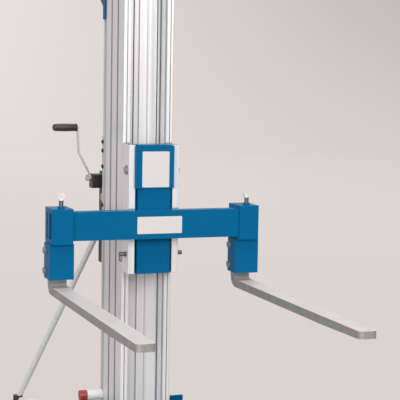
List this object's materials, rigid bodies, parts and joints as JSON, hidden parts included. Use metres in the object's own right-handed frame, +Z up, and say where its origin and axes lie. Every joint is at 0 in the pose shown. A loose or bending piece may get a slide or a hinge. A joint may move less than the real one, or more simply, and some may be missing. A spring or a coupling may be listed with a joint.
{
  "type": "material hoist",
  "caption": "Hand-cranked material hoist with a telescoping mast, a carriage with sliding forks, a geared winch and a rolling base with rear braces.",
  "frame": {"origin": "on the floor, under the middle of the whole object's box", "axes": "+Z up, forks towards -Y, +X to the right seen from the fork side"},
  "size_m": [0.7958, 1.8899, 2.0124],
  "materials": {
    "blue_paint": "semi-gloss powder coat",
    "aluminium": "mill-finish extrusion",
    "zinc": "zinc plated",
    "fork_steel": "satin, zinc plated",
    "rubber": "matte",
    "sheave_plastic": "moulded nylon, matte",
    "nylon": "moulded, matte",
    "cable_steel": "stranded steel",
    "black_paint": "satin black",
    "black_plastic": "moulded, matte",
    "white_plastic": "semi-gloss",
    "red_plastic": "semi-gloss"
  },
  "bodies": {
    "base": {"base_frame": "blue_paint", "left_leg": "aluminium", "right_leg": "aluminium", "leg_pins": "zinc", "column_1": "aluminium", "column_1_head": "zinc", "winch_frame": "black_paint", "winch_bolts": "black_paint", "drum_shaft": "zinc", "brake_cover": "black_plastic", "winch_cables": "cable_steel", "rear_handle": "blue_paint", "left_brace": "aluminium", "right_brace": "aluminium", "brace_brackets": "black_paint", "brace_feet": "rubber", "lock_collar": "white_plastic"},
    "column_2": {"column_2": "aluminium", "column_2_brackets": "zinc", "column_2_shoes": "nylon", "stage_2_cables": "cable_steel"},
    "column_3": {"column_3": "aluminium", "column_3_brackets": "zinc", "column_3_shoes": "nylon", "stage_3_cables": "cable_steel"},
    "carriage": {"carriage_body": "aluminium", "carriage_shoes": "nylon", "tongue": "blue_paint", "face_plate": "blue_paint", "cross_beam": "blue_paint", "tongue_bolt": "zinc", "carriage_cables": "cable_steel"},
    "retaining_pin": {"retaining_pin": "zinc"},
    "left_fork": {"left_bracket": "blue_paint", "left_fork": "fork_steel", "left_bracket_bolts": "zinc"},
    "right_fork": {"right_bracket": "blue_paint", "right_fork": "fork_steel", "right_bracket_bolts": "zinc"},
    "left_lock_screw": {"left_lock_screw": "zinc"},
    "right_lock_screw": {"right_lock_screw": "zinc"},
    "drum": {"drum": "zinc", "drum_gear": "zinc", "drum_winding": "cable_steel"},
    "crank": {"crank_shaft": "zinc", "crank_arm": "zinc", "crank_nut": "zinc"},
    "crank_grip": {"crank_grip": "black_plastic"},
    "head_1_sheaves": {"head_1_sheaves": "sheave_plastic"},
    "head_2_sheaves": {"head_2_sheaves": "sheave_plastic"},
    "head_3_sheaves": {"head_3_sheaves": "sheave_plastic"},
    "foot_2_sheaves": {"foot_2_sheaves": "sheave_plastic"},
    "foot_3_sheaves": {"foot_3_sheaves": "sheave_plastic"},
    "front_left_caster": {"front_left_caster": "zinc"},
    "front_right_caster": {"front_right_caster": "zinc"},
    "front_left_wheel": {"front_left_wheel": "rubber"},
    "front_right_wheel": {"front_right_wheel": "rubber"},
    "rear_left_wheel": {"rear_left_wheel": "rubber"},
    "rear_right_wheel": {"rear_right_wheel": "rubber"},
    "lock_cap": {"lock_cap": "red_plastic"}
  },
  "joints": [
    {"name": "column_2_slide", "type": "slide", "parent": "base", "child": "column_2", "axis": [0, 0, 1], "range_m": [0, 1.45], "deforming": ["stage_2_cables"]},
    {"name": "column_3_slide", "type": "slide", "parent": "column_2", "child": "column_3", "axis": [0, 0, 1], "range_m": [0, 1.45], "deforming": ["stage_3_cables"]},
    {"name": "carriage_slide", "type": "slide", "parent": "column_3", "child": "carriage", "axis": [0, 0, 1], "range_m": [-0.45, 0.8], "deforming": ["carriage_cables"]},
    {"name": "left_fork_slide", "type": "slide", "parent": "carriage", "child": "left_fork", "axis": [1, 0, 0], "range_m": [0, 0.175]},
    {"name": "right_fork_slide", "type": "slide", "parent": "carriage", "child": "right_fork", "axis": [-1, 0, 0], "range_m": [0, 0.175]},
    {"name": "left_lock_turn", "type": "hinge", "parent": "left_fork", "child": "left_lock_screw", "pos_m": [-0.347, 0.0469, 0.93], "axis": [0, 0, 1], "range_deg": [0, 720]},
    {"name": "right_lock_turn", "type": "hinge", "parent": "right_fork", "child": "right_lock_screw", "pos_m": [0.347, 0.0469, 0.93], "axis": [0, 0, 1], "range_deg": [0, 720]},
    {"name": "retaining_pin_slide", "type": "slide", "parent": "carriage", "child": "retaining_pin", "axis": [1, 0, 0], "range_m": [-0.16, 0]},
    {"name": "drum_turn", "type": "hinge", "parent": "base", "child": "drum", "pos_m": [0, 0.5002, 0.904], "axis": [1, 0, 0], "range_deg": [-661.5, 1175.6]},
    {"name": "crank_turn", "type": "hinge", "parent": "base", "child": "crank", "pos_m": [0, 0.5002, 0.979], "axis": [1, 0, 0], "range_deg": [-4700.7, 2644.4]},
    {"name": "grip_spin", "type": "hinge", "parent": "crank", "child": "crank_grip", "pos_m": [-0.22, 0.5002, 1.173], "axis": [1, 0, 0], "continuous": true},
    {"name": "head_1_turn", "type": "hinge", "parent": "base", "child": "head_1_sheaves", "pos_m": [0, 0.3737, 1.99], "axis": [1, 0, 0], "range_deg": [-2303.8, 1296.1]},
    {"name": "head_2_turn", "type": "hinge", "parent": "column_2", "child": "head_2_sheaves", "pos_m": [0, 0.2941, 1.99], "axis": [1, 0, 0], "range_deg": [-2303.8, 1296.1]},
    {"name": "head_3_turn", "type": "hinge", "parent": "column_3", "child": "head_3_sheaves", "pos_m": [0, 0.2145, 1.99], "axis": [1, 0, 0], "range_deg": [-2303.8, 1296.1]},
    {"name": "foot_2_turn", "type": "hinge", "parent": "column_2", "child": "foot_2_sheaves", "pos_m": [0, 0.3339, 0.135], "axis": [1, 0, 0], "range_deg": [-1296.1, 2303.8]},
    {"name": "foot_3_turn", "type": "hinge", "parent": "column_3", "child": "foot_3_sheaves", "pos_m": [0, 0.2543, 0.135], "axis": [1, 0, 0], "range_deg": [-1296.1, 2303.8]},
    {"name": "front_left_swivel", "type": "hinge", "parent": "base", "child": "front_left_caster", "pos_m": [-0.164, -0.646, 0.085], "axis": [0, 0, 1], "continuous": true},
    {"name": "front_right_swivel", "type": "hinge", "parent": "base", "child": "front_right_caster", "pos_m": [0.164, -0.646, 0.085], "axis": [0, 0, 1], "continuous": true},
    {"name": "front_left_spin", "type": "hinge", "parent": "front_left_caster", "child": "front_left_wheel", "pos_m": [-0.164, -0.622, 0.036], "axis": [1, 0, 0], "continuous": true},
    {"name": "front_right_spin", "type": "hinge", "parent": "front_right_caster", "child": "front_right_wheel", "pos_m": [0.164, -0.622, 0.036], "axis": [1, 0, 0], "continuous": true},
    {"name": "rear_left_spin", "type": "hinge", "parent": "base", "child": "rear_left_wheel", "pos_m": [-0.15, 0.39, 0.05], "axis": [1, 0, 0], "continuous": true},
    {"name": "rear_right_spin", "type": "hinge", "parent": "base", "child": "rear_right_wheel", "pos_m": [0.15, 0.39, 0.05], "axis": [1, 0, 0], "continuous": true},
    {"name": "lock_cap_pull", "type": "slide", "parent": "base", "child": "lock_cap", "axis": [-1, 0, 0], "range_m": [0, 0.012], "stiffness_N_per_m": 400}
  ],
  "couplings": [
    {"joint": "drum_turn", "follows": "carriage_slide", "rad_per_m": 25.636},
    {"joint": "crank_turn", "follows": "carriage_slide", "rad_per_m": -102.54},
    {"joint": "head_1_turn", "follows": "carriage_slide", "rad_per_m": -50.251},
    {"joint": "head_2_turn", "follows": "carriage_slide", "rad_per_m": -50.251},
    {"joint": "head_3_turn", "follows": "carriage_slide", "rad_per_m": -50.251},
    {"joint": "foot_2_turn", "follows": "carriage_slide", "rad_per_m": 50.251},
    {"joint": "foot_3_turn", "follows": "carriage_slide", "rad_per_m": 50.251}
  ]
}
